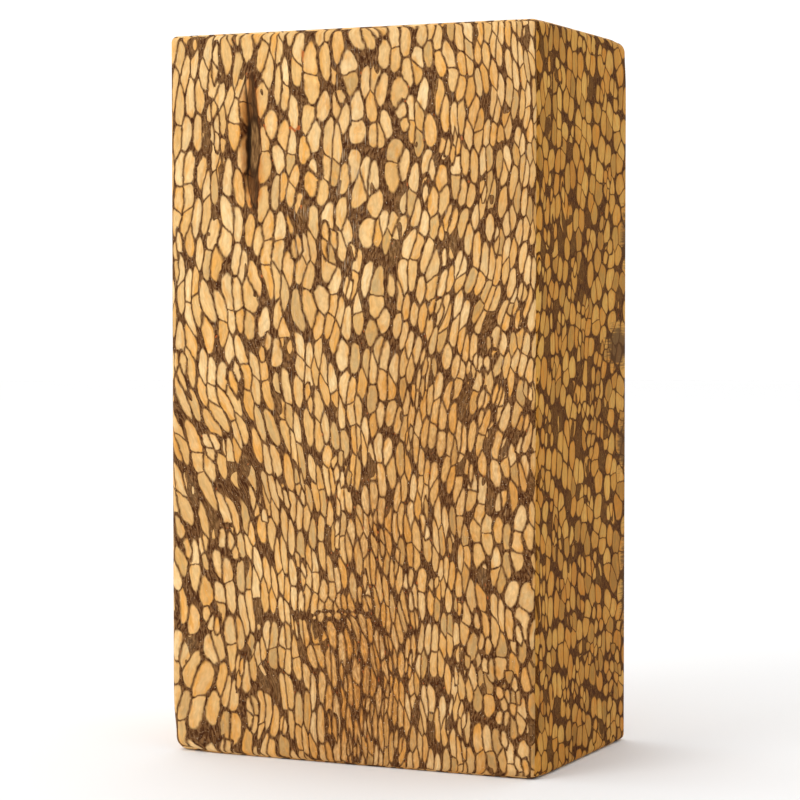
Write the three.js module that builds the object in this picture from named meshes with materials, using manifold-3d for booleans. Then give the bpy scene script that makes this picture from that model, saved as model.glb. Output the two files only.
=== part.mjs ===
// A spalted guava wood block: one planed piece of wood that stands on its sawn end.
// Units are millimetres. +Z is up, along the grain, and the broad front face looks along -Y.
// The origin is the centre of the end that the block stands on.

import * as THREE from 'three';
import { mergeVertices } from 'three/addons/utils/BufferGeometryUtils.js';
import Module from 'manifold-3d';

const wasm = await Module();
wasm.setup();

// The planed blank
const WIDTH = 49.0;
const DEPTH = 31.2;
const HEIGHT = 89.0;

// Sanding has eased every arris to this radius
const EASED_RADIUS = 0.8;

// Corners that handling has worn further. The side gives the corner's direction from the
// middle of the block, and the reach is how far along the arrises the wear runs.
const WORN_CORNERS = [
  { side: [-1, -1, -1], extraRadius: 0.9, reach: 3.6 },
  { side: [1, -1, -1], extraRadius: 0.4, reach: 2.4 },
  { side: [1, -1, 1], extraRadius: 0.3, reach: 2.6 },
  { side: [1, 1, 1], extraRadius: 0.6, reach: 3.0 },
  { side: [-1, 1, -1], extraRadius: 0.5, reach: 3.0 },
];

// The bark pocket: a long shallow hollow in the front face, along the grain.
// Its line bows sideways towards its lower end.
const POCKET_X = -13.1;
const POCKET_Z = 75.6;
const POCKET_HALF_WIDTH = 1.25;
const POCKET_HALF_LENGTH = 8.2;
const POCKET_DEPTH = 0.9;
const POCKET_BOW = 0.5;

// Steps across one face: an eighth of a turn of arris at each side, and the flat between
const ARRIS_STEPS = 3;
const FLAT_STEPS = 16;
const FACE_STEPS = FLAT_STEPS + 2 * ARRIS_STEPS;

// Steps round and along the pocket's cutting solid
const POCKET_STEPS_ROUND = 20;
const POCKET_STEPS_LONG = 16;

const WOOD_COLOUR = 0xd9a866;
const WOOD_ROUGHNESS = 0.62;

// Leaves a geometry with nothing but its places and shared corners, as a solid needs
function sharedCorners(geometry) {
  geometry.deleteAttribute('normal');
  geometry.deleteAttribute('uv');
  return mergeVertices(geometry);
}

function solidFrom(geometry) {
  const vertProperties = new Float32Array(geometry.attributes.position.array);
  const triVerts = new Uint32Array(geometry.index.array);
  return new wasm.Manifold(new wasm.Mesh({ numProp: 3, vertProperties, triVerts }));
}

function geometryFrom(solid) {
  const { vertProperties, triVerts } = solid.getMesh();
  const geometry = new THREE.BufferGeometry();
  geometry.setAttribute('position', new THREE.BufferAttribute(vertProperties, 3));
  geometry.setIndex(new THREE.BufferAttribute(triVerts, 1));
  geometry.computeVertexNormals();
  return geometry;
}

// Where a grid line of a face lies: its place along the flat, from -1 to 1, packed closer
// towards the corners, and its share of the arris's turn, which is 0 on the flat
function gridLine(coordinate) {
  const fromMiddle = (coordinate * FACE_STEPS) / 2;
  const side = Math.sign(fromMiddle);
  const flatShare = Math.min(Math.abs(fromMiddle) / (FLAT_STEPS / 2), 1);
  const turnShare = Math.max(Math.abs(fromMiddle) - FLAT_STEPS / 2, 0) / ARRIS_STEPS;
  return {
    along: side * (1 - (1 - flatShare) ** 2),
    turn: side * Math.tan((turnShare * Math.PI) / 4),
  };
}

// The arris radius at a place on the block, larger near a worn corner
function arrisRadius(place, halfSize) {
  let radius = EASED_RADIUS;
  for (const { side, extraRadius, reach } of WORN_CORNERS) {
    const corner = new THREE.Vector3(...side).multiply(halfSize);
    radius += extraRadius * Math.exp(-((place.distanceTo(corner) / reach) ** 2));
  }
  return radius;
}

// The blank with its arrises and corners rounded: each point of a unit cube's grid goes to
// an inner box, and from there outwards by the arris radius
function easedBlank() {
  const geometry = sharedCorners(
    new THREE.BoxGeometry(2, 2, 2, FACE_STEPS, FACE_STEPS, FACE_STEPS),
  );
  const halfSize = new THREE.Vector3(WIDTH / 2, DEPTH / 2, HEIGHT / 2);
  const position = geometry.attributes.position;
  for (let i = 0; i < position.count; i += 1) {
    const lines = [position.getX(i), position.getY(i), position.getZ(i)].map(gridLine);
    const along = new THREE.Vector3(...lines.map((line) => line.along));
    const outwards = new THREE.Vector3(...lines.map((line) => line.turn)).normalize();
    const radius = arrisRadius(along.clone().multiply(halfSize), halfSize);
    const innerBox = halfSize.clone().subScalar(radius);
    const place = along.multiply(innerBox).addScaledVector(outwards, radius);
    position.setXYZ(i, place.x, place.y, place.z + HEIGHT / 2);
  }
  return geometry;
}

// The boat-shaped solid that the pocket leaves out of the front face
function pocketCutter() {
  const geometry = sharedCorners(
    new THREE.SphereGeometry(1, POCKET_STEPS_ROUND, POCKET_STEPS_LONG).rotateX(Math.PI / 2),
  );
  const position = geometry.attributes.position;
  for (let i = 0; i < position.count; i += 1) {
    const along = position.getZ(i);
    const bow = POCKET_BOW * Math.max(-along, 0) ** 2;
    position.setXYZ(
      i,
      POCKET_X + bow + POCKET_HALF_WIDTH * position.getX(i),
      -DEPTH / 2 + POCKET_DEPTH * position.getY(i),
      POCKET_Z + POCKET_HALF_LENGTH * along,
    );
  }
  return geometry;
}

function guavaBlock() {
  const solid = solidFrom(easedBlank()).subtract(solidFrom(pocketCutter()));
  const material = new THREE.MeshStandardMaterial({
    color: WOOD_COLOUR,
    roughness: WOOD_ROUGHNESS,
    metalness: 0,
  });
  const mesh = new THREE.Mesh(geometryFrom(solid), material);
  mesh.name = 'guava_block';
  return mesh;
}

const group = new THREE.Group();
group.add(guavaBlock());

export default group;
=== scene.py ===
"""Dresses a spalted guava wood block: its fine shape, its finish, the studio and the camera.

The block keeps the frame's own axes: Z up along the grain, the broad front face towards -Y.
Sizes in the classes are millimetres, because the wood's figure is a few millimetres fine, and
meshes and places are turned to metres where Blender objects are made.
"""

import logging
import math
from dataclasses import dataclass
from enum import Enum

import bmesh
import bpy
from mathutils import Color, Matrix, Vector


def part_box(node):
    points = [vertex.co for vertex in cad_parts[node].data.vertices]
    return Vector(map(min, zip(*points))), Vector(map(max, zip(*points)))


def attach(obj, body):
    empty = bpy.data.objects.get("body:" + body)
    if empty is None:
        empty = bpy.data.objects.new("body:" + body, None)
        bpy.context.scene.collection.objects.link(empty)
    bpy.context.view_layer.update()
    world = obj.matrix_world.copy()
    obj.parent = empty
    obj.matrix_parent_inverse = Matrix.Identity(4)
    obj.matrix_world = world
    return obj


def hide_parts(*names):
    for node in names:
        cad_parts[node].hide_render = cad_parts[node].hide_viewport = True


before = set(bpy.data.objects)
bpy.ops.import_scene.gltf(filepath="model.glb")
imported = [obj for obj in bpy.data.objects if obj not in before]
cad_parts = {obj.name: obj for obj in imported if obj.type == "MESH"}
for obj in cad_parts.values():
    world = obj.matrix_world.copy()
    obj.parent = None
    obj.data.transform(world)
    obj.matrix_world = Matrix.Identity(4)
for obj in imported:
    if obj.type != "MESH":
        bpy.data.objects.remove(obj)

MM = 0.001
BLOCK_NODE = "guava_block"
WOOD_SLOT = "spalted_guava"
CARTON_MAP = "carton"
BAKE_MAP = "OFBake"
PHOTO_SIDE_PX = 800

Pair = tuple[float, float]
Triple = tuple[float, float, float]

log = logging.getLogger("guava_block")


class Wire:
    """A shader socket on which Python's operators add Math or Vector Math nodes."""

    def __init__(self, bench: "Bench", socket: bpy.types.NodeSocket) -> None:
        """Keeps the socket and the bench that its next nodes go on."""
        self.bench = bench
        self.socket = socket

    @property
    def is_vector(self) -> bool:
        """Whether the socket carries three numbers."""
        return self.socket.type in ("VECTOR", "RGBA")

    def maths(self, operation: str, *others: "Wire | float | Triple") -> "Wire":
        """Adds one node of arithmetic on this value and others."""
        return self.bench.maths(operation, self, *others)

    def measure(self, operation: str, *others: "Wire | Triple") -> "Wire":
        """Adds one node of vector arithmetic that gives a single number."""
        made = self.maths(operation, *others).socket.node
        return Wire(self.bench, made.outputs["Value"])

    def __add__(self, other: "Wire | float | Triple") -> "Wire":
        """Adds another value."""
        return self.maths("ADD", other)

    __radd__ = __add__

    def __sub__(self, other: "Wire | float | Triple") -> "Wire":
        """Takes another value away."""
        return self.maths("SUBTRACT", other)

    def __rsub__(self, other: float | Triple) -> "Wire":
        """Takes this value from another."""
        return self.bench.maths("SUBTRACT", other, self)

    def __neg__(self) -> "Wire":
        """Turns the value's sign."""
        return self * -1.0

    def __mul__(self, other: "Wire | float | Triple") -> "Wire":
        """Multiplies by another value."""
        scaled = self.is_vector and isinstance(other, (int, float))
        return self.maths("SCALE" if scaled else "MULTIPLY", other)

    __rmul__ = __mul__

    def __truediv__(self, other: "Wire | float | Triple") -> "Wire":
        """Divides by another value."""
        return self.maths("DIVIDE", other)

    def __rtruediv__(self, other: float | Triple) -> "Wire":
        """Divides another value by this one."""
        return self.bench.maths("DIVIDE", other, self)

    def __pow__(self, power: float) -> "Wire":
        """Raises to a power."""
        return self.maths("POWER", power)

    def magnitude(self) -> "Wire":
        """Gives a number without its sign."""
        return self.maths("ABSOLUTE")

    def smaller(self, other: "Wire | float") -> "Wire":
        """Gives the smaller of two values."""
        return self.maths("MINIMUM", other)

    def larger(self, other: "Wire | float") -> "Wire":
        """Gives the larger of two values."""
        return self.maths("MAXIMUM", other)

    def above(self, limit: "Wire | float") -> "Wire":
        """Gives 1 where the value is over a limit, and 0 elsewhere."""
        return self.maths("GREATER_THAN", limit)

    def redrawn(self, factor: float) -> "Wire":
        """Gives another random value from 0 to 1 from one that is random itself."""
        return (self * factor).maths("FRACT")

    def rise(self, low: "Wire | float", high: "Wire | float", smooth: bool = True) -> "Wire":
        """Rises from 0 to 1 between two values.

        Args:
            low: Where the rise starts.
            high: Where it ends.
            smooth: Whether the rise eases in and out.

        Returns:
            The share from 0 to 1.
        """
        settings = {"interpolation_type": "SMOOTHSTEP" if smooth else "LINEAR"}
        return self.bench.node("ShaderNodeMapRange", settings, [self, low, high, 0.0, 1.0])

    def fall(self, low: "Wire | float", high: "Wire | float") -> "Wire":
        """Falls smoothly from 1 to 0 between two values."""
        return 1 - self.rise(low, high)


class Bench:
    """A material's node tree, on which wires and nodes are laid."""

    def __init__(self, tree: bpy.types.NodeTree) -> None:
        """Takes over a node tree."""
        self.tree = tree

    def node(self, kind: str, settings: dict, inputs: list | dict, output: int | str = 0) -> Wire:
        """Adds a node.

        Args:
            kind: The node's type name.
            settings: Properties to set before the sockets, such as an operation.
            inputs: Values or wires, in the order of the sockets or by socket name.
            output: Which output to hand back, by number or name.

        Returns:
            That output as a wire.
        """
        made = self.tree.nodes.new(kind)
        for name, value in settings.items():
            setattr(made, name, value)
        sockets = [s for s in made.inputs if s.enabled]
        pairs = inputs.items() if isinstance(inputs, dict) else enumerate(inputs)
        for key, value in pairs:
            socket = sockets[key] if isinstance(key, int) else made.inputs[key]
            self.feed(socket, value)
        outputs = [s for s in made.outputs if s.enabled]
        return Wire(self, outputs[output] if isinstance(output, int) else made.outputs[output])

    def feed(self, socket: bpy.types.NodeSocket, value: Wire | float | Triple) -> None:
        """Sets a socket to a value, or links a wire to it.

        Args:
            socket: The input socket.
            value: A wire, a number, or three numbers for a vector or colour.
        """
        if isinstance(value, Wire):
            self.tree.links.new(value.socket, socket)
        elif isinstance(value, tuple) and socket.type == "RGBA":
            socket.default_value = (*value, 1.0)
        else:
            socket.default_value = value

    def maths(self, operation: str, *operands: Wire | float | Triple) -> Wire:
        """Adds one node of arithmetic, on vectors if any operand is one.

        Args:
            operation: The Math or Vector Math operation.
            operands: What it works on, in order.

        Returns:
            The result as a wire.
        """
        vector = any(isinstance(o, tuple) or getattr(o, "is_vector", False) for o in operands)
        if vector and operation != "SCALE":
            operands = [(o, o, o) if isinstance(o, (int, float)) else o for o in operands]
        kind = "ShaderNodeVectorMath" if vector else "ShaderNodeMath"
        return self.node(kind, {"operation": operation}, list(operands))

    def split(self, vector: Wire) -> tuple[Wire, Wire, Wire]:
        """Parts a vector or colour into its three numbers."""
        made = self.node("ShaderNodeSeparateXYZ", {}, [vector]).socket.node
        return tuple(Wire(self, output) for output in made.outputs)

    def join(self, x: Wire | float, y: Wire | float, z: Wire | float) -> Wire:
        """Joins three numbers into a vector."""
        return self.node("ShaderNodeCombineXYZ", {}, [x, y, z])

    def turned(self, place: Wire, angle: float) -> Wire:
        """Turns a place about Z by an angle in radians."""
        settings = {"rotation_type": "Z_AXIS"}
        return self.node("ShaderNodeVectorRotate", settings, {"Vector": place, "Angle": angle})

    def mix(
        self, share: Wire | float, a: Wire | Triple, b: Wire | Triple, how: str = "MIX"
    ) -> Wire:
        """Mixes two colours.

        Args:
            share: How much of the second colour shows, from 0 to 1.
            a: The first colour.
            b: The second colour.
            how: The blend type.

        Returns:
            The mixed colour.
        """
        settings = {"data_type": "RGBA", "blend_type": how, "clamp_factor": True}
        return self.node("ShaderNodeMix", settings, [share, a, b])

    def tint(self, share: Wire | float, body: Wire, tint: Triple) -> Wire:
        """Darkens a colour towards its product with a tint."""
        return self.mix(share, body, tint, "MULTIPLY")

    def noise(self, place: Wire, detail: float = 0.0, colour: bool = False) -> Wire:
        """Gives soft noise about 1 unit fine.

        Args:
            place: Where to read it, already in the noise's own units.
            detail: How many finer octaves are added.
            colour: Whether three numbers come back and not one.

        Returns:
            The noise, mostly from 0.3 to 0.7.
        """
        inputs = {"Vector": place, "Scale": 1.0, "Detail": detail}
        settings = {"noise_dimensions": "3D"}
        return self.node("ShaderNodeTexNoise", settings, inputs, "Color" if colour else "Fac")

    def cells(self, place: Wire, feature: str, randomness: float) -> tuple[Wire, Wire, Wire]:
        """Gives a flat figure of cells about 1 unit wide.

        Args:
            place: Where to read it, already in the cells' own units.
            feature: F1 for the nearest cell and F2 for the next.
            randomness: How far the cells stray from a square grid, from 0 to 1.

        Returns:
            The distance to that cell's middle, a random colour of the cell, and its middle.
        """
        settings = {"voronoi_dimensions": "2D", "feature": feature}
        inputs = {"Vector": place, "Scale": 1.0, "Randomness": randomness}
        made = self.node("ShaderNodeTexVoronoi", settings, inputs, "Distance").socket.node
        return tuple(Wire(self, made.outputs[name]) for name in ("Distance", "Color", "Position"))


def colour(red: int, green: int, blue: int) -> Triple:
    """Turns a colour as a screen shows it, from 0 to 255, to the linear one that light uses."""
    shown = Color((red, green, blue)) / 255
    return tuple(shown.from_srgb_to_scene_linear())


@dataclass(frozen=True)
class Mottle:
    """Soft random mottling, with its grain in millimetres and the part of it that counts."""

    grain: Triple
    detail: float = 0.0
    start: Triple = (0.0, 0.0, 0.0)
    low: float = 0.0
    high: float = 1.0
    strength: float = 1.0

    def read(self, place: Wire) -> Wire:
        """Gives the plain noise, mostly from 0.3 to 0.7."""
        return place.bench.noise(place / self.grain + self.start, self.detail)

    def swing(self, place: Wire) -> Wire:
        """Gives the noise from its middle, as far either way as the strength says."""
        return (self.read(place) - 0.5) * self.strength

    def share(self, place: Wire, more: Wire | float = 0.0) -> Wire:
        """Gives how much of the mottling shows.

        Args:
            place: Where to read it, in millimetres.
            more: What is added to the noise first, so that it shows more there.

        Returns:
            The share, from 0 to the strength.
        """
        return (self.read(place) + more).rise(self.low, self.high) * self.strength


@dataclass(frozen=True)
class Sway:
    """Random bending of the figure, with its grain and its reach in millimetres."""

    grain: Triple
    reach: Triple
    detail: float = 0.0
    middle: Triple = (0.5, 0.5, 0.5)

    def shift(self, flat: Wire) -> Wire:
        """Gives how far the figure is moved at a place on the unfolded block."""
        drawn = flat.bench.noise(flat / self.grain, self.detail, colour=True)
        return (drawn - self.middle) * self.reach


@dataclass(frozen=True)
class Spot:
    """A soft oval place on a face, by its middle, its size and what it amounts to."""

    x: float
    z: float
    wide: float
    high: float
    strength: float

    def offset(self, x: Wire, z: Wire) -> tuple[Wire, Wire]:
        """Gives how many widths and heights of the spot a place lies from its middle."""
        return (x - self.x) / self.wide, (z - self.z) / self.high

    def amount(self, x: Wire, z: Wire) -> Wire:
        """Gives the strength at the middle, fading out over the spot's width and height."""
        across, along = self.offset(x, z)
        return (-(across * across + along * along)).maths("EXPONENT") * self.strength

    def lean(self, x: Wire, z: Wire) -> Wire:
        """Gives the sideways shift, in millimetres, that leans the grain by the strength.

        Args:
            x: The place across.
            z: The place up.

        Returns:
            The shift, which fades out to the sides and levels off above and below.
        """
        across, along = self.offset(x, z)
        column = (-(across * across)).maths("EXPONENT")
        return column * along.maths("TANH") * (self.strength * self.high)


@dataclass(frozen=True)
class Surface:
    """A place on the block as the finish reads it, in millimetres."""

    bench: Bench
    place: Wire
    flat: Wire
    x: Wire
    y: Wire
    z: Wire
    side: Wire
    end: Wire
    brown: Wire

    @classmethod
    def read(cls, bench: Bench, half_size: Vector, brown_places: tuple[Spot, ...]) -> "Surface":
        """Reads the block's own coordinates and its unfolded map.

        Args:
            bench: Where the nodes go.
            half_size: Half the block's size.
            brown_places: Where the wood of the front is browner.

        Returns:
            The surface. Its side and end are 1 on the narrow sides and on the sawn ends, and its
            brown says from 0 to 1 how brown the wood is.
        """
        place = bench.node("ShaderNodeTexCoord", {}, [], "Object") * (1 / MM)
        flat = bench.node("ShaderNodeUVMap", {"uv_map": CARTON_MAP}, [])
        girth, height, _ = bench.split(flat)
        from_front = girth.magnitude()
        past_front = from_front.above(half_size.x)
        side = past_front * (1 - from_front.above(half_size.x + 2 * half_size.y))
        end = (height - half_size.z).magnitude().above(half_size.z)
        x, y, z = bench.split(place)
        brown = sum(spot.amount(x, z) for spot in brown_places) * (1 - side)
        return cls(bench, place, flat, x, y, z, side, end, brown)

    def total(self, spots: tuple[Spot, ...]) -> Wire:
        """Adds up what several spots of the front amount to."""
        return sum(spot.amount(self.x, self.z) for spot in spots)


@dataclass(frozen=True)
class Cell:
    """The cell of the figure that a place lies in."""

    bent: Wire
    inside: Wire
    tone: Wire
    fill: Wire


@dataclass(frozen=True)
class SpaltLine:
    """A dark line across the grain of the front, in millimetres."""

    x: float = -2.5
    z: float = 18.5
    half_width: float = 5.5
    slope: float = 0.13
    drop: float = 0.8
    thick: float = 0.45
    ragged_reach: float = 2.5
    end_fade: Pair = (0.5, 1.1)
    strength: float = 0.5

    def shadow(self, surface: Surface, ragged: Wire) -> Wire:
        """Darkens the wood along the line.

        Args:
            surface: The place on the block.
            ragged: A small random value that breaks the line's edge.

        Returns:
            The strength on the line, and 0 away from it and on the narrow sides.
        """
        across = (surface.x - self.x) / self.half_width
        level = across * (self.slope * self.half_width) - across * across * self.drop + self.z
        away = (surface.z - level + ragged * self.ragged_reach).magnitude()
        ends = across.magnitude().fall(*self.end_fade)
        return away.fall(0.0, self.thick) * ends * self.strength * (1 - surface.side)


@dataclass(frozen=True)
class BarkPocket:
    """The long shallow hollow left by bark, in the upper left of the front face."""

    x: float = -13.1
    z: float = 75.6
    half_width: float = 1.5
    half_length: float = 8.2
    depth: float = 0.9
    bow: float = 0.5
    crease_offset: float = -0.75
    crease_half_width: float = 0.5
    crease_depth: float = 0.55
    slope_power: float = 1.4

    def depth_at(self, x: float, z: float) -> float:
        """Gives how far the surface lies under the front face.

        Args:
            x: Place across the face.
            z: Height on the face.

        Returns:
            The depth in millimetres, 0 outside the pocket.
        """
        along = (z - self.z) / self.half_length
        middle = self.x + self.bow * max(-along, 0.0) ** 2
        hollow = self.hull((x - middle) / self.half_width, along)
        crease = self.hull((x - middle - self.crease_offset) / self.crease_half_width, along)
        return self.depth * hollow + self.crease_depth * crease

    def hull(self, across: float, along: float) -> float:
        """Gives the share of full depth in a boat-shaped hollow whose edge is 1 away."""
        return max(1 - across**2 - along**2, 0.0) ** self.slope_power


@dataclass(frozen=True)
class WornCorner:
    """A corner that handling has rounded further than the arrises."""

    side: tuple[int, int, int]
    extra_radius: float
    reach: float


class Side(Enum):
    """A face of the block, by the signed axes out of it, across it and up it."""

    FRONT = ((1, -1), (0, 1), (2, 1))
    RIGHT = ((0, 1), (1, 1), (2, 1))
    BACK = ((1, 1), (0, -1), (2, 1))
    LEFT = ((0, -1), (1, -1), (2, 1))
    TOP = ((2, 1), (0, 1), (1, 1))
    BOTTOM = ((2, -1), (0, 1), (1, -1))

    @classmethod
    def facing(cls, direction: Vector) -> "Side":
        """Finds the side that a direction from the middle of the block points to.

        Args:
            direction: The direction, along one axis more than the others.

        Returns:
            The side.
        """
        axis = max(range(3), key=lambda i: abs(direction[i]))
        sign = 1 if direction[axis] > 0 else -1
        return next(side for side in cls if side.value[0] == (axis, sign))

    def local(self, place: Vector, half_size: Vector) -> Pair:
        """Lays a place near this side flat, half of each arris with it.

        Args:
            place: The place, from the middle of the block.
            half_size: Half the block's size.

        Returns:
            How far across and up the side the place lies, from the side's middle.
        """
        (out_axis, _), *flat_axes = self.value
        inset = half_size[out_axis] - abs(place[out_axis])
        across, up = (
            sign * (place[axis] + math.copysign(inset, place[axis])) for axis, sign in flat_axes
        )
        return across, up


@dataclass(frozen=True)
class Unfolding:
    """The block's faces laid flat in two ways: as one carton, and packed into a square."""

    half_size: Vector
    margin: float = 0.35

    def carton(self, side: Side, place: Vector) -> Pair:
        """Gives a place on the unfolded carton, in millimetres.

        Args:
            side: The side that the place is on.
            place: The place, from the middle of the block.

        Returns:
            The place along the girth, 0 in the middle of the front, and the height.
        """
        wide, deep, high = self.half_size
        middles = {
            Side.FRONT: (0.0, high),
            Side.RIGHT: (wide + deep, high),
            Side.BACK: (2 * wide + 2 * deep, high),
            Side.LEFT: (-wide - deep, high),
            Side.TOP: (0.0, 2 * high + deep),
            Side.BOTTOM: (0.0, -deep),
        }
        across, up = side.local(place, self.half_size)
        return middles[side][0] + across, middles[side][1] + up

    def packed(self, side: Side, place: Vector) -> Pair:
        """Gives a place in the square, whose two rows hold the broad and the narrow sides.

        Args:
            side: The side that the place is on.
            place: The place, from the middle of the block.

        Returns:
            The place in the square, from 0 to 1 each way.
        """
        wide, deep, high = self.half_size
        middles = {
            Side.FRONT: (wide, high),
            Side.BACK: (3 * wide, high),
            Side.RIGHT: (deep, 3 * high),
            Side.LEFT: (3 * deep, 3 * high),
            Side.TOP: (5 * deep, 2.5 * high),
            Side.BOTTOM: (5 * deep, 3.5 * high),
        }
        across, up = side.local(place, self.half_size)
        half_across, half_up = wide, high
        if side in (Side.RIGHT, Side.LEFT):
            half_across = deep
        if side in (Side.TOP, Side.BOTTOM):
            across, up = -up, across * high / (2 * wide)
            half_across, half_up = deep, high / 2
        across *= 1 - self.margin / half_across
        up *= 1 - self.margin / half_up
        return (middles[side][0] + across) / (4 * wide), (middles[side][1] + up) / (4 * high)


@dataclass(frozen=True)
class Growth:
    """How the cells grow broader or longer over the block, with its places in millimetres."""

    broad_x: float = -7.0
    broad_reach: float = 6.0
    broad_rate: float = 0.14
    broadening: float = 0.16
    lower_broadening: float = 0.0034
    lower_from: float = 80.0
    side_broadening: float = 0.009
    middle_z: float = 44.5
    right_shortening: float = 0.006
    end_lengthening: float = 0.0002

    def shift(self, surface: Surface) -> Wire:
        """Gives how far the figure is read aside, which stretches or squeezes its cells.

        Args:
            surface: The place on the block.

        Returns:
            The shift across and along the grain.
        """
        x, y, z = surface.x, surface.y, surface.z
        fan = ((x - self.broad_x) ** 2 + self.broad_reach**2) ** 0.5 * self.broad_rate
        across = fan - x * self.broadening - surface.side * y * y * self.side_broadening
        across = across + x * (z - self.lower_from) * self.lower_broadening
        up = z - self.middle_z
        along = up * (x * self.right_shortening - up * self.end_lengthening)
        return surface.bench.join(across, along, 0.0)


@dataclass(frozen=True)
class Knot:
    """A hidden knot that pushes the figure of the front apart."""

    place: Spot = Spot(-1.5, 14, 6, 8, 1.9)
    pinch: float = 0.12

    def shift(self, surface: Surface) -> Wire:
        """Gives how far the figure is read aside round the knot, in millimetres."""
        bulge = self.place.amount(surface.x, surface.z) * (1 - surface.side)
        return surface.bench.join((surface.x - self.place.x) * bulge * self.pinch, bulge, 0.0)


@dataclass(frozen=True)
class Flow:
    """The way the grain runs: its leans, its growth, the knot and small random bends."""

    growth: Growth = Growth()
    knot: Knot = Knot()
    leans: tuple[Spot, ...] = (
        Spot(-20, 37, 17, 17, 0.31),
        Spot(18, 55, 15, 20, -0.24),
        Spot(-3, 14, 10, 12, 0.12),
    )
    wander: Sway = Sway((4.5, 7.0, 1.0), (1.4, 2.8, 0.0))
    ragged: Sway = Sway((0.7, 1.0, 1.0), (0.2, 0.4, 0.0), detail=1.0)

    def bent(self, surface: Surface) -> Wire:
        """Gives the place to read the figure at, so that its straight grain runs bent.

        Args:
            surface: The place on the block.

        Returns:
            The place on the unfolded block, in millimetres.
        """
        lean = sum(spot.lean(surface.x, surface.z) for spot in self.leans)
        leaned = surface.flat + surface.bench.join(lean, 0.0, 0.0)
        grown = leaned + self.growth.shift(surface) - self.knot.shift(surface)
        return grown + self.wander.shift(surface.flat) + self.ragged.shift(surface.flat)


@dataclass(frozen=True)
class CellNet:
    """The figure of the wood: staggered long cells, some of them parted into smaller ones."""

    front_cell: Triple = (0.91, 3.65, 1.0)
    side_cell: Triple = (2.1, 3.2, 1.0)
    end_cell: Triple = (1.5, 2.4, 1.0)
    stagger_turn: float = 0.26
    randomness: float = 0.72
    part_scale: float = 1.6
    part_offset: Triple = (7.3, 2.1, 0.0)
    break_depth: float = 0.35
    round_reach: float = 0.575
    round_slope: float = 2.0
    round_blend: float = 0.34
    beyond: float = 9.0
    front_share: float = 0.08
    side_share: float = 0.18
    brown_share: float = 0.14

    def level(self, grid: Wire, cell: Wire, scale: float) -> tuple[Wire, ...]:
        """Lays the cells of one fineness.

        Args:
            grid: The place in cells, turned so that the rows are staggered.
            cell: The cells' pitch in millimetres.
            scale: How many times finer these cells are.

        Returns:
            The depth inside the rounded cell in millimetres, the plain distance to the next cell,
            the cell's random colour, and both cells' middles in cells of the first fineness.
        """
        bench = grid.bench
        near, draws, middle = bench.cells(grid * scale, "F1", self.randomness)
        further, _, next_middle = bench.cells(grid * scale, "F2", self.randomness)
        apart = next_middle - middle
        gap = apart.measure("LENGTH")
        halfway = (further * further - near * near) / (gap * 2)
        across = bench.turned(apart, -self.stagger_turn) / cell
        edge = halfway / (across.measure("LENGTH") * scale / gap)
        rounding = (self.round_reach - near) * (self.round_slope / scale)
        depth = edge.maths("SMOOTH_MIN", rounding, self.round_blend)
        return depth, edge, draws, middle * (1 / scale), next_middle * (1 / scale)

    def lay(self, surface: Surface, bent: Wire) -> Cell:
        """Lays the cells of both finenesses.

        Args:
            surface: The place on the block.
            bent: The place along the bent grain, in millimetres.

        Returns:
            The cell there.
        """
        bench, side, brown = surface.bench, surface.side, surface.brown
        pitch = bench.mix(side, self.front_cell, self.side_cell)
        pitch = bench.mix(surface.end, pitch, self.end_cell)
        share = (1 - side) * self.front_share + side * self.side_share + brown * self.brown_share
        whole_above = 1 - share.rise(0.0, 1.0, smooth=False)
        grid = bench.turned(bent / pitch, self.stagger_turn)
        inside, _, draws, _, _ = self.level(grid, pitch, 1.0)
        parts = self.level(grid + self.part_offset, pitch, self.part_scale)
        part_inside, part_edge, part_draws, middle, next_middle = parts
        broken = bench.split(draws)[0].above(whole_above)
        parted = self.host_draw(middle).above(whole_above)
        beside = self.host_draw(next_middle).above(whole_above)
        whole = inside - broken * self.break_depth
        whole = whole.smaller(part_edge + (1 - beside) * self.beyond)
        depth = whole + (part_inside - whole) * parted
        _, tone, fill = bench.split(bench.mix(parted, draws, part_draws))
        return Cell(bent, depth, tone, fill)

    def host_draw(self, middle: Wire) -> Wire:
        """Gives the random value of the large cell that a small cell's middle lies in."""
        _, draws, _ = middle.bench.cells(middle - self.part_offset, "F1", self.randomness)
        return middle.bench.split(draws)[0]


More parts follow.
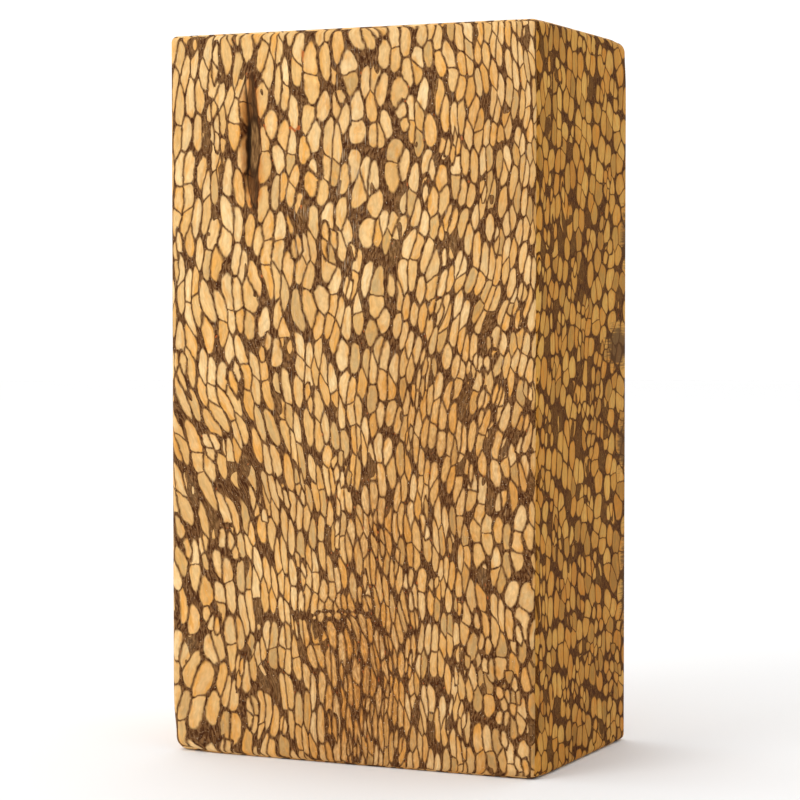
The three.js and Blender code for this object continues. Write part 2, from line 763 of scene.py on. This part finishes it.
@dataclass(frozen=True)
class NetWidth:
    """How broad the dark net is between the cells, in millimetres, and what makes it broader."""

    line: float = -0.075
    soft: float = 0.18
    patches: Mottle = Mottle((1.8, 1.8, 4.0), 1.0, strength=0.5)
    places: tuple[Spot, ...] = (
        Spot(-8, 83, 5, 6, 0.18),
        Spot(-14, 74, 9, 12, 0.08),
        Spot(-8, 62, 2, 5, 0.05),
        Spot(-13.5, 56, 2, 3, 0.12),
        Spot(-8, 48, 1.5, 3, 0.06),
        Spot(14, 42, 3, 4, 0.10),
        Spot(18, 63, 3, 3, 0.10),
        Spot(17, 34, 3, 5, 0.12),
        Spot(22, 40, 3, 5, 0.10),
        Spot(-20, 33, 3, 3, 0.10),
    )
    side_edge: Pair = (-12.0, 12.0)
    side_dark: float = 0.16
    dark_reach: float = 0.3
    broad: Mottle = Mottle((6.0, 6.0, 9.0), 0.0, (0.0, 4.0, 1.0), strength=0.22)
    thin: Mottle = Mottle((1.2, 1.2, 2.4), 0.0, (31.0, 5.0, 9.0), strength=0.32)
    right_rate: float = 0.001
    lower_rate: float = 0.0002
    knot_line: SpaltLine = SpaltLine()
    brown_thinning: float = 0.06
    brown_soft: float = 0.12
    filled_share: float = 0.04
    filled_reach: float = 0.6
    filled_strength: float = 0.92

    def pale(self, surface: Surface, cell: Cell) -> Wire:
        """Parts the pale cells from the dark net, and fills a few cells with it.

        Args:
            surface: The place on the block.
            cell: The cell there.

        Returns:
            How pale the wood is, from 0 to 1.
        """
        dark = self.patches.swing(surface.place) + surface.total(self.places)
        dark = dark + surface.side * (-surface.y).rise(*self.side_edge) * self.side_dark
        line = dark * self.dark_reach + self.line
        line = line + self.thin.swing(surface.place) + self.broad.swing(surface.place)
        line = line + surface.x * self.right_rate - surface.z * self.lower_rate
        line = line + self.knot_line.shadow(surface, dark)
        line = (line - surface.brown * self.brown_thinning).larger(0.0)
        pale = cell.inside.rise(line, line + self.soft + surface.brown * self.brown_soft)
        filled = (cell.fill + dark * self.filled_reach).above(1 - self.filled_share)
        return pale * (1 - filled * self.filled_strength)


@dataclass(frozen=True)
class PaleWood:
    """The colours of the cells: pale, tan, grey or orange, each with fine grain and specks."""

    light: Triple = colour(249, 216, 160)
    tan: Triple = colour(232, 187, 120)
    grey: Triple = colour(176, 144, 92)
    orange: Triple = colour(234, 170, 86)
    speck: Triple = colour(158, 107, 58)
    dull_draw: float = 7.31
    dull_edge: Pair = (0.56, 1.0)
    dull_share: float = 0.75
    right_dulling: float = 0.004
    upper_clearing: float = 0.0015
    warmth: Mottle = Mottle(
        (0.5, 2.6, 1.0), 2.0, (4.0, 8.0, 0.0), low=0.45, high=0.72, strength=0.58
    )
    warm_draw: float = 13.7
    warm_from: float = 0.8
    warm_share: float = 0.4
    rim_edge: Pair = (0.2, 0.6)
    rim_share: float = 0.25
    brown_draw: float = 5.3
    brown_share: float = 0.8
    fine_grain: Mottle = Mottle((0.16, 0.9, 1.0), 2.0, strength=0.5)
    long_grain: Mottle = Mottle((0.5, 6.0, 1.0), 1.0, strength=0.36)
    specks: Mottle = Mottle((0.22, 0.7, 1.0), 2.0, (1.0, 6.0, 0.0), low=0.38, high=0.6)
    speck_share: float = 0.12
    brown_speck_share: float = 0.6

    def body(self, surface: Surface, cell: Cell) -> Wire:
        """Colours the pale cells.

        Args:
            surface: The place on the block.
            cell: The cell there.

        Returns:
            The colour of the pale wood.
        """
        bench, brown, tone = surface.bench, surface.brown, cell.tone
        body = bench.mix(tone, self.light, self.tan)
        dull = tone.redrawn(self.dull_draw) + surface.x * self.right_dulling
        dull = (dull - surface.z * self.upper_clearing).rise(*self.dull_edge)
        body = bench.mix(dull * self.dull_share, body, self.grey)
        warm = tone.redrawn(self.warm_draw).above(self.warm_from) * self.warm_share
        warm = warm + self.warmth.share(cell.bent)
        warm = warm + cell.inside.fall(*self.rim_edge) * self.rim_share
        warm = warm + brown * tone.redrawn(self.brown_draw) * self.brown_share
        body = bench.mix(warm, body, self.orange)
        body = body * (self.fine_grain.swing(cell.bent) + 1)
        body = body * (self.long_grain.swing(cell.bent) + 1)
        specks = self.specks.share(cell.bent) * (brown * self.brown_speck_share + self.speck_share)
        return bench.mix(specks, body, self.speck)


@dataclass(frozen=True)
class DarkWood:
    """The colours of the dark net, with pale streaks along the grain and a few red flecks."""

    dark: Triple = colour(70, 38, 17)
    light: Triple = colour(142, 102, 62)
    fleck: Triple = colour(176, 142, 106)
    ember: Triple = colour(200, 104, 48)
    streaks: Mottle = Mottle((0.13, 0.8, 1.0), 2.0, low=0.36, high=0.72)
    flecks: Mottle = Mottle(
        (0.14, 0.22, 1.0), 1.0, (5.0, 1.0, 0.0), low=0.6, high=0.75, strength=0.6
    )
    embers: Mottle = Mottle(
        (0.4, 0.8, 1.0), 1.0, (9.0, 3.0, 0.0), low=0.72, high=0.8, strength=0.7
    )
    ember_places: tuple[Spot, ...] = (
        Spot(-10.4, 77.9, 0.8, 1.0, 0.42),
        Spot(-7.2, 77.3, 0.7, 1.0, 0.42),
        Spot(-6.5, 86.0, 0.8, 1.0, 0.42),
        Spot(3, 20, 8, 20, 0.06),
    )

    def body(self, surface: Surface, cell: Cell) -> Wire:
        """Colours the dark net.

        Args:
            surface: The place on the block.
            cell: The cell there.

        Returns:
            The colour of the net.
        """
        bench, bent = surface.bench, cell.bent
        body = bench.mix(self.streaks.share(bent), self.dark, self.light)
        body = bench.mix(self.flecks.share(bent), body, self.fleck)
        embers = self.embers.share(bent, surface.total(self.ember_places))
        return bench.mix(embers, body, self.ember)


@dataclass(frozen=True)
class RaisedFibres:
    """Pale fibres and specks that sanding has raised, mostly in the upper middle of the front."""

    pale: Triple = colour(232, 208, 172)
    fibres: Mottle = Mottle(
        (0.13, 2.2, 1.0), 1.0, (2.0, 4.0, 0.0), low=0.66, high=0.86, strength=0.55
    )
    fibre_places: tuple[Spot, ...] = (Spot(0, 72, 3, 14, 0.12), Spot(-6, 60, 3, 14, 0.08))
    specks: Mottle = Mottle(
        (0.17, 0.2, 1.0), 0.0, (6.0, 3.0, 0.0), low=0.78, high=0.84, strength=0.8
    )
    brown_specks: float = 0.06
    relief: Mottle = Mottle((0.18, 1.6, 1.0), 2.0)
    relief_strength: float = 0.35
    relief_height: float = 0.04

    def laid(self, surface: Surface, body: Wire) -> Wire:
        """Lays the fibres over the wood.

        Args:
            surface: The place on the block.
            body: The colour so far.

        Returns:
            The colour with the fibres and specks in it.
        """
        bench = surface.bench
        fibres = self.fibres.share(surface.flat, surface.total(self.fibre_places))
        body = bench.mix(fibres, body, self.pale)
        specks = self.specks.share(surface.flat, surface.brown * self.brown_specks)
        return bench.mix(specks, body, self.pale)

    def normal(self, surface: Surface) -> Wire:
        """Raises fine fibres all over the wood.

        Args:
            surface: The place on the block.

        Returns:
            The bumped normal.
        """
        inputs = {
            "Strength": self.relief_strength,
            "Distance": self.relief_height * MM,
            "Height": self.relief.read(surface.flat),
        }
        return surface.bench.node("ShaderNodeBump", {}, inputs)


@dataclass(frozen=True)
class PocketStainAndShade:
    """The colours in and round the bark pocket: its own dark and brown wood, with painted shade on
    its rims, in its hollow and in its crease.
    """

    pocket: BarkPocket = BarkPocket()
    # Painted shade: the orange-brown that the pocket's rims take where they slope into it.
    painted_rim_shade: Triple = colour(216, 162, 100)
    # The pocket's dark brown: partly its own dark wood, partly painted shade in its hollow and
    # round its floor.
    dark: Triple = colour(58, 38, 22)
    streak: Triple = colour(98, 68, 40)
    # Painted shade: the near-black of the deep crease.
    crease: Triple = colour(40, 26, 16)
    floor: Triple = colour(158, 118, 72)
    ragged: Mottle = Mottle((0.8, 0.8, 1.6), 1.0, strength=1.1)
    streaks: Mottle = Mottle((0.22, 0.4, 1.2), 2.0, low=0.35, high=0.7)
    end_reach: float = 0.6
    least_taper: float = 0.02
    end_fade: Pair = (0.02, 0.2)
    front_edge: Pair = (11.0, 13.0)
    # How far the rims' painted shade reaches from the pocket's middle, and how strong it is.
    rim_edge: Pair = (0.6, 2.0)
    rim_share: float = 0.9
    hollow_shade_edge: Pair = (0.62, 0.95)
    hollow_shade_share: float = 0.85
    floor_place: Spot = Spot(-13.0, 75.2, 0.95, 3.1, 1.0)
    floor_ragged: float = 0.3
    floor_shadow: Pair = (0.16, 0.3)
    floor_shadow_share: float = 0.8
    floor_edge: Pair = (0.3, 0.6)
    crease_x: float = -13.85
    crease_z: float = 76.0
    crease_bow_from: float = 72.0
    crease_bow: float = 0.065
    crease_ragged: float = 0.2
    crease_narrowing: float = 0.02
    crease_edge: Pair = (0.1, 0.38)
    crease_shade_share: float = 0.9

    def laid(self, surface: Surface, body: Wire) -> Wire:
        """Colours the wood in and round the pocket, with painted shade on its rims, in its hollow
        and in its crease.

        Args:
            surface: The place on the block.
            body: The colour so far.

        Returns:
            The stained colour.
        """
        bench = surface.bench
        along = (surface.z - self.pocket.z) / (self.pocket.half_length + self.end_reach)
        middle = (-along).larger(0.0) ** 2 * self.pocket.bow + self.pocket.x
        ragged = self.ragged.swing(surface.place)
        taper = (1 - along * along).larger(self.least_taper)
        away = ((surface.x - middle + ragged) / taper**0.5).magnitude()
        front = (-surface.y).rise(*self.front_edge) * taper.rise(*self.end_fade)
        # Painted shade: the pale cells darken to orange-brown towards the pocket, where the
        # surface slopes into it.
        body = bench.tint(away.fall(*self.rim_edge) * front * self.rim_share, body, self.painted_rim_shade)
        streaks = self.streaks.share(surface.place)
        # The hollow is darkened: partly the pocket's own dark wood, partly painted shade in the
        # recess.
        hollow = away.fall(*self.hollow_shade_edge) * front * self.hollow_shade_share
        body = bench.mix(hollow, body, bench.mix(streaks, self.dark, self.streak))
        floor = self.floor_place.amount(surface.x + ragged * self.floor_ragged, surface.z) * front
        shadow = floor.rise(*self.floor_shadow) * self.floor_shadow_share
        body = bench.mix(shadow, body, self.dark)
        ground = bench.mix(streaks, self.streak, self.floor)
        body = bench.mix(floor.rise(*self.floor_edge), body, ground)
        # Painted shade: the deep crease along the pocket's left is darkened.
        return bench.mix(self.crease_shade(surface, ragged) * front, body, self.crease)

    def crease_shade(self, surface: Surface, ragged: Wire) -> Wire:
        """Finds the painted shade of the deep crease along the left of the pocket.

        Args:
            surface: The place on the block.
            ragged: A small random value that breaks the crease's edge.

        Returns:
            How much of the crease's painted shade shows.
        """
        bow = (self.crease_bow_from - surface.z).larger(0.0) ** 2 * self.crease_bow
        away = (surface.x - self.crease_x - bow + ragged * self.crease_ragged).magnitude()
        away = away + (surface.z - self.crease_z).magnitude() * self.crease_narrowing
        return away.fall(*self.crease_edge) * self.crease_shade_share


@dataclass(frozen=True)
class BroadTintAndSideShade:
    """The warmer and darker tints of the block as a whole, painted shade that darkens and warms
    its narrow sides, and the stains of its sides.
    """

    shade: Triple = (0.74, 0.64, 0.54)
    brown: Triple = (0.86, 0.77, 0.68)
    # Painted shade: the darker, warmer tint of the narrow sides.
    side: Triple = (0.84, 0.69, 0.33)
    stain: Triple = colour(88, 58, 28)
    patches: Mottle = Mottle((6.0, 6.0, 10.0), 1.0, (3.0, 0.0, 8.0), strength=1.2)
    shade_share: float = 0.46
    right_shading: float = 0.008
    upper_clearing: float = 0.004
    side_edge: Pair = (-20.0, 20.0)
    left_shade_share: float = 0.4
    stain_places: tuple[Spot, ...] = (
        Spot(12.5, 50.5, 4.5, 2.6, 0.9),
        Spot(14.5, 38, 2.5, 3.5, 0.7),
        Spot(15, 64, 2, 4, 0.6),
        Spot(15, 20, 2, 8, 0.6),
    )
    stain_streaks: Mottle = Mottle((0.5, 2.2, 0.22), 2.0)
    stain_edge: Pair = (0.15, 0.6)
    stain_share: float = 0.85

    def laid(self, surface: Surface, body: Wire) -> Wire:
        """Tints the wood and paints shade on its narrow sides.

        Args:
            surface: The place on the block.
            body: The colour so far.

        Returns:
            The tinted colour.
        """
        bench, x, z = surface.bench, surface.x, surface.z
        shaded = x * self.right_shading - z * self.upper_clearing + self.shade_share
        shaded = (shaded + self.patches.swing(surface.place)).rise(0.0, 1.0, smooth=False)
        body = bench.tint(surface.brown, bench.tint(shaded, body, self.shade), self.brown)
        # Painted shade on the narrow sides: full on the right, at the left share on the left.
        warm = x.rise(*self.side_edge) * (1 - self.left_shade_share) + self.left_shade_share
        warm = warm * surface.side
        body = bench.tint(warm, body, self.side)
        stains = sum(spot.amount(surface.y, z) for spot in self.stain_places)
        stains = stains + self.stain_streaks.swing(surface.place)
        return bench.mix(warm * stains.rise(*self.stain_edge) * self.stain_share, body, self.stain)


@dataclass(frozen=True)
class SpaltedGuava:
    """The finish of the block: pale rounded cells in a dark net, with painted shade in the bark
    pocket and on the narrow sides.
    """

    flow: Flow = Flow()
    cells: CellNet = CellNet()
    net_width: NetWidth = NetWidth()
    pale_wood: PaleWood = PaleWood()
    dark_wood: DarkWood = DarkWood()
    fibres: RaisedFibres = RaisedFibres()
    # Broad tints, with painted shade on the narrow sides.
    tint: BroadTintAndSideShade = BroadTintAndSideShade()
    # The bark pocket's own colours, with painted shade in and round it.
    pocket_stain_and_shade: PocketStainAndShade = PocketStainAndShade()
    brown_places: tuple[Spot, ...] = (
        Spot(2.0, 11, 7.0, 13, 0.9),
        Spot(3.5, 30, 4.5, 6, 0.35),
        Spot(14, 40, 9, 12, 0.35),
    )
    net_roughness: float = 0.72
    wood_smoothness: float = 0.14
    shine: float = 0.05

    def material(self, half_size: Vector) -> bpy.types.Material:
        """Makes the wood as a material of nodes.

        Args:
            half_size: Half the block's size, in millimetres.

        Returns:
            The material, which reads Object coordinates and the carton map alone.
        """
        made = bpy.data.materials.new(WOOD_SLOT)
        made.use_nodes = True
        bench = Bench(made.node_tree)
        surface = Surface.read(bench, half_size, self.brown_places)
        cell = self.cells.lay(surface, self.flow.bent(surface))
        pale = self.net_width.pale(surface, cell)
        wood = self.pale_wood.body(surface, cell)
        figure = bench.mix(pale, self.dark_wood.body(surface, cell), wood)
        tinted = self.tint.laid(surface, self.fibres.laid(surface, figure))
        shader = made.node_tree.nodes["Principled BSDF"]
        bench.feed(shader.inputs["Base Color"], self.pocket_stain_and_shade.laid(surface, tinted))
        bench.feed(shader.inputs["Roughness"], self.net_roughness - pale * self.wood_smoothness)
        bench.feed(shader.inputs["Normal"], self.fibres.normal(surface))
        bench.feed(shader.inputs["Specular IOR Level"], self.shine)
        return made


@dataclass
class WoodBlock:
    """The block itself, modelled finer than the CAD solid that it stands for."""

    eased_radius: float = 0.8
    arris_steps: int = 4
    flat_steps: int = 32
    worn_corners: tuple[WornCorner, ...] = (
        WornCorner((-1, -1, -1), 0.9, 3.6),
        WornCorner((1, -1, -1), 0.4, 2.4),
        WornCorner((1, -1, 1), 0.3, 2.6),
        WornCorner((1, 1, 1), 0.6, 3.0),
        WornCorner((-1, 1, -1), 0.5, 3.0),
    )
    pocket: BarkPocket = BarkPocket()
    pocket_cuts: int = 11
    cut_left: float = 2.0
    cut_right: float = 2.2
    cut_ends: float = 2.0
    flat_within: float = 1e-4
    finish: SpaltedGuava = SpaltedGuava()

    def __post_init__(self) -> None:
        """Takes the block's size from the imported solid."""
        low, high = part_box(BLOCK_NODE)
        self.half_size = (high - low) / (2 * MM)
        self.middle = (high + low) / (2 * MM)
        self.front = self.middle.y - self.half_size.y

    def grid_line(self, coordinate: float) -> Pair:
        """Finds where a grid line of a face lies.

        Args:
            coordinate: The line's place on a plain grid, from -1 to 1.

        Returns:
            Its place along the flat, from -1 to 1 and packed closer towards the corners, and
            its share of the arris's turn, which is 0 on the flat.
        """
        half_flat = self.flat_steps / 2
        from_middle = abs(coordinate) * (half_flat + self.arris_steps)
        flat_share = min(from_middle / half_flat, 1.0)
        turn_share = max(from_middle - half_flat, 0.0) / self.arris_steps
        along = math.copysign(1 - (1 - flat_share) ** 2, coordinate)
        turn = math.copysign(math.tan(turn_share * math.pi / 4), coordinate)
        return along, turn

    def radius_at(self, place: Vector) -> float:
        """Gives the arris radius near a place, larger at a worn corner.

        Args:
            place: The place, from the middle of the block.

        Returns:
            The radius in millimetres.
        """
        radius = self.eased_radius
        for corner in self.worn_corners:
            away = (place - Vector(corner.side) * self.half_size).length
            radius += corner.extra_radius * math.exp(-((away / corner.reach) ** 2))
        return radius

    def eased(self, grid: Vector) -> Vector:
        """Moves a point of a plain cube's grid onto the eased block.

        Args:
            grid: The point, each number from -1 to 1.

        Returns:
            Its place on the block, in millimetres.
        """
        along, outwards = (Vector(line) for line in zip(*map(self.grid_line, grid)))
        radius = self.radius_at(along * self.half_size)
        inner = self.half_size - Vector((radius, radius, radius))
        return self.middle + along * inner + outwards.normalized() * radius

    def build(self) -> bpy.types.Object:
        """Models the block, with its pocket, and dresses it.

        Returns:
            The finished object, which rides on the part's body.
        """
        shape = bmesh.new()
        bmesh.ops.create_cube(shape, size=2.0)
        cuts = self.flat_steps + 2 * self.arris_steps - 1
        bmesh.ops.subdivide_edges(shape, edges=shape.edges[:], cuts=cuts, use_grid_fill=True)
        sides = {face: Side.facing(face.calc_center_median()) for face in shape.faces}
        for vertex in shape.verts:
            vertex.co = self.eased(vertex.co)
        self.unfold(shape, sides)
        self.carve_pocket(shape)
        bmesh.ops.scale(shape, vec=(MM, MM, MM), verts=shape.verts[:])
        bmesh.ops.recalc_face_normals(shape, faces=shape.faces[:])
        for face in shape.faces:
            face.smooth = True
        piece = placed(shape, "block")
        piece.data.materials.append(self.finish.material(self.half_size))
        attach(piece, "root")
        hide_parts(BLOCK_NODE)
        return piece

    def unfold(self, shape: bmesh.types.BMesh, sides: dict[bmesh.types.BMFace, Side]) -> None:
        """Gives the faces their places on the two flat maps.

        Args:
            shape: The eased block, in millimetres, before the pocket is pressed in.
            sides: The side that each face belongs to.
        """
        unfolding = Unfolding(self.half_size)
        carton = shape.loops.layers.uv.new(CARTON_MAP)
        packed = shape.loops.layers.uv.new(BAKE_MAP)
        for face, side in sides.items():
            for corner in face.loops:
                place = corner.vert.co - self.middle
                corner[carton].uv = unfolding.carton(side, place)
                corner[packed].uv = unfolding.packed(side, place)

    def carve_pocket(self, shape: bmesh.types.BMesh) -> None:
        """Refines the front face round the bark pocket and presses the pocket into it.

        Args:
            shape: The eased block, in millimetres.
        """
        near = [face for face in shape.faces if self.is_near_pocket(face)]
        edges = list(dict.fromkeys(edge for face in near for edge in face.edges))
        bmesh.ops.subdivide_edges(shape, edges=edges, cuts=self.pocket_cuts, use_grid_fill=True)
        for vertex in shape.verts:
            if self.is_on_front(vertex):
                vertex.co.y += self.pocket.depth_at(vertex.co.x, vertex.co.z)

    def is_on_front(self, vertex: bmesh.types.BMVert) -> bool:
        """Tells whether a point lies on the flat of the front face."""
        return abs(vertex.co.y - self.front) < self.flat_within

    def is_near_pocket(self, face: bmesh.types.BMFace) -> bool:
        """Tells whether a face of the flat front is in or beside the pocket.

        Args:
            face: The face, in millimetres.

        Returns:
            Whether it is.
        """
        pocket = self.pocket
        across = [vertex.co.x for vertex in face.verts]
        beside = min(across) < pocket.x + self.cut_right and max(across) > pocket.x - self.cut_left
        up = face.calc_center_median().z - pocket.z
        level = abs(up) < pocket.half_length + self.cut_ends
        return beside and level and all(self.is_on_front(vertex) for vertex in face.verts)


@dataclass
class Studio:
    """The pale floor, the soft lights and the camera round the block, in metres or as named."""

    floor_radius: float = 1.5
    floor_steps: int = 96
    floor_colour: Triple = (0.9, 0.9, 0.9)
    floor_roughness: float = 0.9
    room_colour: Triple = (1.0, 1.0, 1.0)
    room_strength: float = 0.74
    room_slope: Triple = (-0.40, 0.20, 0.52)
    key_place: Triple = (-0.35, -0.7, 0.55)
    key_aim: Triple = (0.0, 0.0, 0.045)
    key_size: float = 0.5
    key_watts: float = 2.2
    camera_place_mm: Triple = (131.4, -286.9, 56.07)
    yaw_degrees: float = 24.64
    pitch_degrees: float = 2.24
    lens_px: float = 2503.0
    sensor_mm: float = 36.0
    clip_start: float = 0.01
    clip_end: float = 20.0

    def build(self) -> None:
        """Lays the floor, hangs the lights and sets the camera."""
        self.floor()
        self.world()
        self.key_light()
        self.camera()

    def floor(self) -> None:
        """Lays a round pale floor."""
        shape = bmesh.new()
        steps = self.floor_steps
        bmesh.ops.create_circle(shape, cap_ends=True, segments=steps, radius=self.floor_radius)
        floor = placed(shape, "floor")
        paint = bpy.data.materials.new("floor_paint")
        paint.use_nodes = True
        bench = Bench(paint.node_tree)
        shader = paint.node_tree.nodes["Principled BSDF"]
        bench.feed(shader.inputs["Base Color"], self.floor_colour)
        bench.feed(shader.inputs["Roughness"], self.floor_roughness)
        floor.data.materials.append(paint)

    def world(self) -> None:
        """Lights the room softly, a little brighter from the left and behind."""
        world = bpy.data.worlds.new("room")
        world.use_nodes = True
        bpy.context.scene.world = world
        bench = Bench(world.node_tree)
        towards = bench.node("ShaderNodeTexCoord", {}, [], "Generated")
        strength = towards.measure("DOT_PRODUCT", self.room_slope) + self.room_strength
        back = world.node_tree.nodes["Background"]
        bench.feed(back.inputs["Color"], self.room_colour)
        bench.feed(back.inputs["Strength"], strength)

    def key_light(self) -> None:
        """Hangs one large soft light to the front left."""
        lamp = bpy.data.lights.new("key", "AREA")
        lamp.shape = "DISK"
        lamp.size = self.key_size
        lamp.energy = self.key_watts
        light = bpy.data.objects.new("key", lamp)
        light.location = self.key_place
        aim = Vector(self.key_aim) - light.location
        light.rotation_euler = aim.to_track_quat("-Z", "Y").to_euler()
        bpy.context.scene.collection.objects.link(light)

    def camera(self) -> None:
        """Sets the camera where the photograph was taken from."""
        data = bpy.data.cameras.new("camera")
        data.sensor_width = self.sensor_mm
        data.lens = self.lens_px * self.sensor_mm / PHOTO_SIDE_PX
        data.clip_start = self.clip_start
        data.clip_end = self.clip_end
        camera = bpy.data.objects.new("camera", data)
        camera.location = Vector(self.camera_place_mm) * MM
        tilt = math.radians(90 - self.pitch_degrees)
        camera.rotation_euler = (tilt, 0.0, math.radians(self.yaw_degrees))
        bpy.context.scene.collection.objects.link(camera)
        bpy.context.scene.camera = camera


def placed(shape: bmesh.types.BMesh, name: str) -> bpy.types.Object:
    """Turns a finished shape into an object of the scene.

    Args:
        shape: The shape in metres, which is used up.
        name: The name of the mesh and the object.

    Returns:
        The object, at the origin.
    """
    mesh = bpy.data.meshes.new(name)
    shape.to_mesh(mesh)
    shape.free()
    piece = bpy.data.objects.new(name, mesh)
    bpy.context.scene.collection.objects.link(piece)
    return piece


def main() -> None:
    """Builds the block and its studio."""
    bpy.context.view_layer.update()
    piece = WoodBlock().build()
    log.info("%s: %d faces", piece.name, len(piece.data.polygons))
    Studio().build()
    bpy.context.scene.view_settings.view_transform = "Standard"


if __name__ == "__main__":
    logging.basicConfig(level=logging.INFO)
    main()
